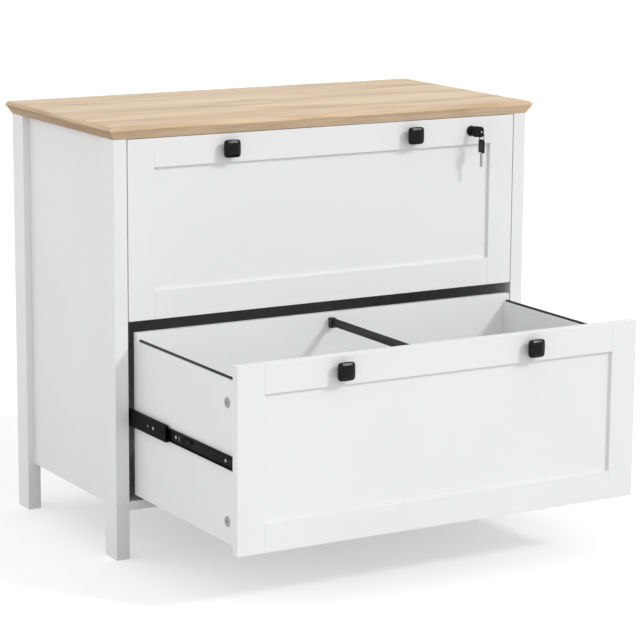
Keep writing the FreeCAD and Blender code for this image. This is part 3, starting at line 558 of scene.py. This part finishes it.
def dress_boards():
    """Finishes of the boards that keep their frame shapes."""
    dress(WHITE, "front_left_leg", "front_right_leg", "rear_left_leg", "rear_right_leg", "left_side_panel",
          "right_side_panel", "bottom_panel", "front_stretcher", "rear_stretcher",
          *both("front_stiles", "front_rails", "front_panel", "left_drawer_side", "right_drawer_side",
                "drawer_back", "drawer_bottom"))
    dress(BACK, "back_panel")
    dress(SLIDE, *both("cabinet_members"))
    dress(PLATED, "lock_strike", "lock_nut", "lock_cam", *both("outer_cages", "inner_cages"))
    dress(SCREW, "top_screws", "cabinet_member_screws", *both("knob_screws"))
    dress(CAP, "cam_fittings")


# Hardware

def middle_of(node, axis):
    """The middle of a frame piece on one axis."""
    low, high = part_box(node)
    return (low[axis] + high[axis]) / 2


def drawer_face(level):
    """How far a drawer's sides stand from the middle of the cabinet, outside."""
    return -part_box(f"{level}_left_drawer_side")[0].x


def on_members(level, out, along):
    """A place on a drawer's slide members: on the right, from the front end, at half their height."""
    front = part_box(f"{level}_drawer_members")[0].y
    return drawer_face(level) + MEMBER_SHEET + out, front + along, middle_of(f"{level}_drawer_members", 2)


def mirrored(spot, side):
    """A place given on the right, on either side."""
    across, along, height = spot
    return side * across, along, height


def make_knobs():
    """Square pillow knobs with a raised rim, on tapered stems, two on each drawer front."""
    head = [(8, 12), (8.7, 13.8), (10.2, 14.7), (12.4, 15), (14.2, 14.9), (15, 14.5), (15.35, 13.9),
            (15.1, 13.55), (15.2, 13.35), (16.6, 10.8), (16.82, 10.35), (17.3, 8.5), (17.65, 6.1),
            (17.85, 3.4), (17.95, 1)]
    stem = [(0, 7.6), (0.4, 8), (1.2, 8), (2, 7.2), (5, 6.3), (9, 6.6)]
    bulge, corner = 0.14, 3.4 * MM
    foot = Vector((0, 0, 0))
    knob = joined("knob", [pillow_square("head", foot, -Y_AXIS, in_metres(head), bulge, corner),
                           turned("stem", foot, -Y_AXIS, in_metres(stem), 40)])
    for level in LEVELS:
        low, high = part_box(f"{level}_knobs")
        half = (high.z - low.z) / 2
        spots = [((across, high.y, low.z + half), 0.0) for across in (low.x + half, high.x - half)]
        knobs = settle(set_out(knob, f"{level}_pillow_knobs", spots), 40)
        fit(knobs, f"{level}_drawer", "knob_black", KNOB, f"{level}_knobs")
    discard(knob)


def make_caps():
    """Grey cam caps with a cross slot, two on each drawer side."""
    radius, sunk = 8.5 * MM, 8.5 * MM
    rings = [(0, 7.2), (8.4, 7.4), (8.5, 8.5), (9.1, 8.5), (9.5, 8.0), (9.5, 5.4), (9.1, 5.0)]
    cap = turned("cap", (-sunk, 0, 0), X_AXIS, in_metres(rings), 48)
    slot_deep, slot_clear = 0.8 * MM, 2 * MM
    slot_long, slot_wide = 3.2 * MM, 0.75 * MM
    carve(cap, [board("slot", (-slot_deep, -across, -up), (slot_clear, across, up))
                for across, up in ((slot_long, slot_wide), (slot_wide, slot_long))])
    for level in LEVELS:
        low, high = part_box(f"{level}_cam_caps")
        along = (low.y + high.y) / 2
        spots = [((side * drawer_face(level), along, height), FACING[side])
                 for side in SIDES for height in (low.z + radius, high.z - radius)]
        caps = settle(set_out(cap, f"{level}_caps", spots), 30)
        fit(caps, f"{level}_drawer", "fitting_grey", CAP, f"{level}_cam_caps")
    discard(cap)


def cross_screw(axis, head_radius, cap, shank_radius, depth):
    """A pan-head screw with a cross recess, its head seated at the origin."""
    screw = turned("screw", -axis * depth, axis,
                   [(0, shank_radius * 0.5), (depth * 0.12, shank_radius), (depth, shank_radius),
                    (depth, head_radius), (depth + cap * 0.45, head_radius),
                    (depth + cap * 0.8, head_radius * 0.86), (depth + cap, head_radius * 0.55)], 24)
    recess_long, recess_wide, recess_deep = head_radius * 0.62, head_radius * 0.13, cap * 0.5
    across = axis.orthogonal().normalized()
    along = axis.cross(across).normalized()
    tools = []
    for main, other in ((across, along), (along, across)):
        half = main * recess_long + other * recess_wide + axis * recess_deep
        reach = Vector([abs(part) for part in half])
        tools.append(board("recess", axis * cap - reach, axis * cap + reach))
    carve(screw, tools)
    return screw


def make_member_screws():
    """Screws that hold the inner slide members to the drawer sides."""
    screw = cross_screw(X_AXIS, head_radius=2.7 * MM, cap=1.5 * MM, shank_radius=1.7 * MM, depth=11 * MM)
    for level in LEVELS:
        spots = [(mirrored(on_members(level, 0, along), side), FACING[side])
                 for along in MEMBER_SCREWS for side in SIDES]
        screws = settle(set_out(screw, f"{level}_slide_screws", spots), 30)
        fit(screws, f"{level}_drawer", "screw_steel", SCREW, f"{level}_member_screws")
    discard(screw)


def make_back_screws():
    """Screws of the back panel, in two rows of four."""
    radius = 3 * MM
    low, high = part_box("back_screws")
    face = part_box("back_panel")[1].y
    half = (high.x - low.x) / 2 - radius
    screw = cross_screw(Y_AXIS, radius, cap=1.8 * MM, shank_radius=1.5 * MM, depth=19 * MM)
    spots = [((half * share, face, height), 0.0)
             for height in (low.z + radius, high.z - radius) for share in (-1, -1 / 3, 1 / 3, 1)]
    screws = settle(set_out(screw, "back_cross_screws", spots), 30)
    fit(screws, "cabinet", "screw_steel", SCREW, "back_screws")
    discard(screw)


def roll_members(level):
    """Slide members with rolled edges."""
    for part, body in (("middle_members", f"{level}_middle"), ("drawer_members", f"{level}_drawer")):
        member = softened(f"{level}_{part}", f"{level}_{part}_rolled", 0.35 * MM)
        fit(member, body, "slide_black", SLIDE, f"{level}_{part}")


def make_rivets():
    """Rivets on the middle slide members, a large one and a small one near each front end."""
    radii, places = (2.6 * MM, 1.6 * MM), (44 * MM, 63 * MM)
    sunk = 0.5 * MM
    rivets = []
    for radius in radii:
        rings = [(0, radius), (0.6 * MM, radius), (0.85 * MM, radius * 0.8), (0.9 * MM, radius * 0.45)]
        rivets.append(turned("rivet", (-sunk, 0, 0), X_AXIS, rings, 24))
    for level in LEVELS:
        low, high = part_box(f"{level}_middle_members")
        height = (low.z + high.z) / 2
        rows = []
        for rivet, along in zip(rivets, places):
            rows.append(set_out(rivet, "rivet_row", [((side * high.x, low.y + along, height), FACING[side])
                                                     for side in SIDES]))
        whole = settle(joined(f"{level}_middle_rivets", rows), 30)
        fit(whole, f"{level}_middle", "cage_steel", PLATED)
    discard(*rivets)


def lever_pattern(side):
    """A release lever for one side: a cranked plate with a narrow nose, a lowered tail and thumb ridges."""
    half_thick, length, half_tall = 0.7 * MM, 20 * MM, 5 * MM
    neck, neck_rise, nose = 8 * MM, 2.2 * MM, 7 * MM
    tail, tail_drop = 6 * MM, 1.5 * MM
    plate = board("lever", (-half_thick, 0, -half_tall), (half_thick, length, half_tall))
    open_mesh(plate)
    pick_faces(lambda at, normal: normal.y < -0.5)
    bpy.ops.mesh.extrude_region_move(TRANSFORM_OT_translate={"value": (0, -neck, neck_rise)})
    bpy.ops.transform.resize(value=(1, 1, 0.55), center_override=(0, -neck, neck_rise))
    bpy.ops.mesh.extrude_region_move(TRANSFORM_OT_translate={"value": (0, -nose, 0)})
    pick_faces(lambda at, normal: normal.y > 0.5)
    bpy.ops.mesh.extrude_region_move(TRANSFORM_OT_translate={"value": (0, tail, -tail_drop)})
    bpy.ops.transform.resize(value=(1, 1, 0.7), center_override=(0, length + tail, -tail_drop))
    close_mesh()
    proud = side * 0.3 * MM
    ridge_wide, ridge_half, ridge_pitch = 1.4 * MM, 4 * MM, 4 * MM
    ridges = []
    for count in range(1, 5):
        start = count * ridge_pitch
        ridges.append(board("ridge", (proud - half_thick, start, -ridge_half),
                            (proud + half_thick, start + ridge_wide, ridge_half)))
    lever = joined("lever", [plate] + ridges)
    round_edges(lever, 0.25 * MM, 2)
    return lever


def spring_pattern(side):
    """The bent wire springs that show beside a release lever of one side."""
    half_thick, hook_in, hook_up, proud = 0.5 * MM, 0.6 * MM, 0.4 * MM, 0.05 * MM
    springs = []
    for along, tall, lean in ((27.5 * MM, 7 * MM, 0), (19 * MM, 3.6 * MM, 28), (19 * MM, 3.6 * MM, 152)):
        wire = board("wire", (-half_thick, -half_thick, 0), (half_thick, half_thick, tall))
        open_mesh(wire)
        pick_faces(lambda at, normal: normal.z > 0.5)
        bpy.ops.mesh.extrude_region_move(TRANSFORM_OT_translate={"value": (-side * hook_in, 0, hook_up)})
        close_mesh()
        round_edges(wire, 0.2 * MM, 2)
        wire.rotation_euler = (math.radians(lean), 0, 0)
        wire.location = (side * proud, along, 0 if lean else -tall / 2)
        freeze(wire)
        springs.append(wire)
    return joined("spring", springs)


def make_levers():
    """Release levers and their springs, on the inner slide members of both drawers."""
    lift = 0.75 * MM
    for pattern, name, slot, finish in ((lever_pattern, "release_levers", "slide_black", SLIDE),
                                        (spring_pattern, "lever_springs", "screw_steel", SCREW)):
        pair = [pattern(side) for side in SIDES]
        for level in LEVELS:
            spot = on_members(level, lift, LEVER_START)
            twins = [set_out(piece, name, [(mirrored(spot, side), 0.0)]) for piece, side in zip(pair, SIDES)]
            whole = settle(joined(f"{level}_{name}", twins), 30)
            fit(whole, f"{level}_drawer", slot, finish)
        discard(*pair)


def make_hanging_rails(level):
    """Hanging bars and their clips, with rounded edges."""
    bars = softened(f"{level}_hanging_bars", f"{level}_file_bars", 0.6 * MM, 3)
    fit(bars, f"{level}_drawer", "bar_dark", BAR, f"{level}_hanging_bars")
    clips = softened(f"{level}_bar_clips", f"{level}_file_clips", 0.5 * MM)
    fit(clips, f"{level}_drawer", "clip_black", CLIP, f"{level}_bar_clips")


def make_lock():
    """The lock's flanged barrel and its turning plug with a slotted face."""
    low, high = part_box("lock_housing")
    middle = (low + high) / 2
    mouth = Vector((middle.x, low.y, middle.z))
    depth = high.y - low.y
    bore, flange, outside, root = 6.1 * MM, 2.5 * MM, 8 * MM, 7.6 * MM
    barrel = in_metres([(0.5, 6.1), (0, 6.6), (0, 8.2), (0.35, 8.8), (0.9, 9), (2.5, 9), (2.5, 8)])
    pitch = 1.0 * MM
    start = flange + 15 * MM
    while start + pitch < depth:
        barrel += [(start + pitch * 0.5, root), (start + pitch, outside)]
        start += pitch
    barrel += [(depth, 7.8 * MM), (depth, bore)]
    housing = turned("lock_barrel", mouth, Y_AXIS, barrel, 64)
    open_mesh(housing)
    pick_faces(lambda at, normal: (at - mouth).xz.length < MM)
    bpy.ops.mesh.bridge_edge_loops()
    bpy.ops.mesh.select_all(action="SELECT")
    bpy.ops.mesh.normals_make_consistent(inside=False)
    close_mesh()
    settle(housing)
    fit(housing, "upper_drawer", "lock_black", LOCK, "lock_housing")
    plug = softened("lock_plug", "lock_plug_turned", 0.25 * MM)
    fit(plug, "lock_plug", "lock_black", LOCK, "lock_plug")


def bow_outline():
    """The round-cornered block that the moulded bow fills, folded aside from its hinge."""
    fold = next(joint for joint in frame["joints"] if joint["name"] == "bow_fold")
    half_thick, half_tall, corner = 3 * MM, 9.25 * MM, 5.6 * MM
    ahead, behind = 20.5 * MM, 2.4 * MM
    aside = math.radians(21)
    block = board("bow_outline", (-half_thick, -ahead, -half_tall), (half_thick, behind, half_tall))
    open_mesh(block)
    pick_edges(lambda start, end: abs(start.x - end.x) > MM)
    bpy.ops.mesh.bevel(offset=corner, segments=8, affect="EDGES")
    close_mesh()
    block.location = fold["pos_m"]
    block.rotation_euler = (0, 0, aside)
    freeze(block)
    return block


def make_keys():
    """Keys with rounded plastic bows, and the ring between them."""
    bow = softened("key_bow", "key_bow_moulded", 0)
    outline = bow_outline()
    apply_modifier(bow, "BOOLEAN", operation="INTERSECT", object=outline, solver="EXACT")
    discard(outline)
    round_edges(bow, 0.6 * MM, 3)
    settle(bow)
    fit(bow, "key_bow", "key_plastic", KEY, "key_bow")
    spare = softened("spare_key", "spare_key_moulded", 0.5 * MM, 3)
    blade_length = 24 * MM
    blade_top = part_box("spare_key")[0].z + blade_length
    fit(spare, "spare_key", "key_plastic", KEY, "spare_key")
    spare.data.materials.append(PLATED)
    for face in spare.data.polygons:
        if face.center.z < blade_top:
            face.material_index = 1
    dress(RING, "key_ring")
    dress(KEY, "key_blade")


# Stage

def make_floor():
    """A wide white floor that keeps a light shadow."""
    tone, seen_glow = 0.68, 0.43
    bpy.ops.object.select_all(action="DESELECT")
    bpy.ops.mesh.primitive_plane_add(size=60, location=(0, 0, 0))
    floor = bpy.context.object
    floor.name = "floor"
    material = bpy.data.materials.new("floor_white")
    material.use_nodes = True
    tree = material.node_tree
    tree.nodes.remove(tree.nodes["Principled BSDF"])
    matt = tree.nodes.new("ShaderNodeBsdfDiffuse")
    matt.inputs["Color"].default_value = (tone, tone, tone, 1)
    glow = tree.nodes.new("ShaderNodeEmission")
    both_shaders = tree.nodes.new("ShaderNodeAddShader")
    tree.links.new(seen_directly(tree, 0.0, seen_glow), glow.inputs["Strength"])
    tree.links.new(matt.outputs["BSDF"], both_shaders.inputs[0])
    tree.links.new(glow.outputs["Emission"], both_shaders.inputs[1])
    tree.links.new(both_shaders.outputs["Shader"], tree.nodes["Material Output"].inputs["Surface"])
    floor.data.materials.append(material)


def seen_directly(tree, hidden, seen):
    """A level for rays from the camera, mirrors and glass, and another for the light on surfaces."""
    path = tree.nodes.new("ShaderNodeLightPath")
    total = path.outputs["Is Camera Ray"]
    for name in ("Is Glossy Ray", "Is Transmission Ray"):
        either = tree.nodes.new("ShaderNodeMath")
        either.operation = "MAXIMUM"
        tree.links.new(total, either.inputs[0])
        tree.links.new(path.outputs[name], either.inputs[1])
        total = either.outputs["Value"]
    level = tree.nodes.new("ShaderNodeMapRange")
    level.inputs["To Min"].default_value = hidden
    level.inputs["To Max"].default_value = seen
    tree.links.new(total, level.inputs["Value"])
    return level.outputs["Result"]


def make_light():
    """An even white room, a main light from the upper right, and fills from the front and the left."""
    room_light, room_seen = 0.76, 1.0
    world = bpy.data.worlds.new("studio")
    world.use_nodes = True
    bpy.context.scene.world = world
    tree = world.node_tree
    sky = tree.nodes["Background"]
    sky.inputs["Color"].default_value = (1, 1, 1, 1)
    tree.links.new(seen_directly(tree, room_light, room_seen), sky.inputs["Strength"])
    for name, travel, strength, spread in (("main_light", (-0.77, 1.0, -0.89), 1.15, 9),
                                           ("front_fill", (0.3, 1.0, -0.25), 0.31, 80),
                                           ("left_fill", (0.8, -0.62, -0.2), 0.56, 60)):
        lamp = bpy.data.lights.new(name, "SUN")
        lamp.energy = strength
        lamp.angle = math.radians(spread)
        holder = linked(name, lamp)
        holder.rotation_mode = "QUATERNION"
        holder.rotation_quaternion = Vector(travel).to_track_quat("-Z", "Y")


def make_camera():
    """The photograph's viewpoint: long lens, from the left and a little above."""
    yaw, pitch, roll = (math.radians(angle) for angle in (30.319, 11.506, 0.404))
    towards = Vector((math.sin(yaw) * math.cos(pitch), math.cos(yaw) * math.cos(pitch), -math.sin(pitch)))
    camera = bpy.data.cameras.new("camera")
    camera.lens = 144.89
    camera.clip_end = 200
    holder = linked("camera", camera)
    holder.location = (-2.1791, -3.7124, 1.2423)
    holder.rotation_mode = "QUATERNION"
    holder.rotation_quaternion = towards.to_track_quat("-Z", "Y") @ Quaternion((0, 0, 1), roll)
    bpy.context.scene.camera = holder


make_camera()
make_light()
make_floor()
dress_boards()
make_top()
make_knobs()
make_caps()
make_member_screws()
make_back_screws()
make_rivets()
make_levers()
for drawer in LEVELS:
    roll_members(drawer)
    make_hanging_rails(drawer)
make_lock()
make_keys()

bpy.context.scene.view_settings.view_transform = "Standard"
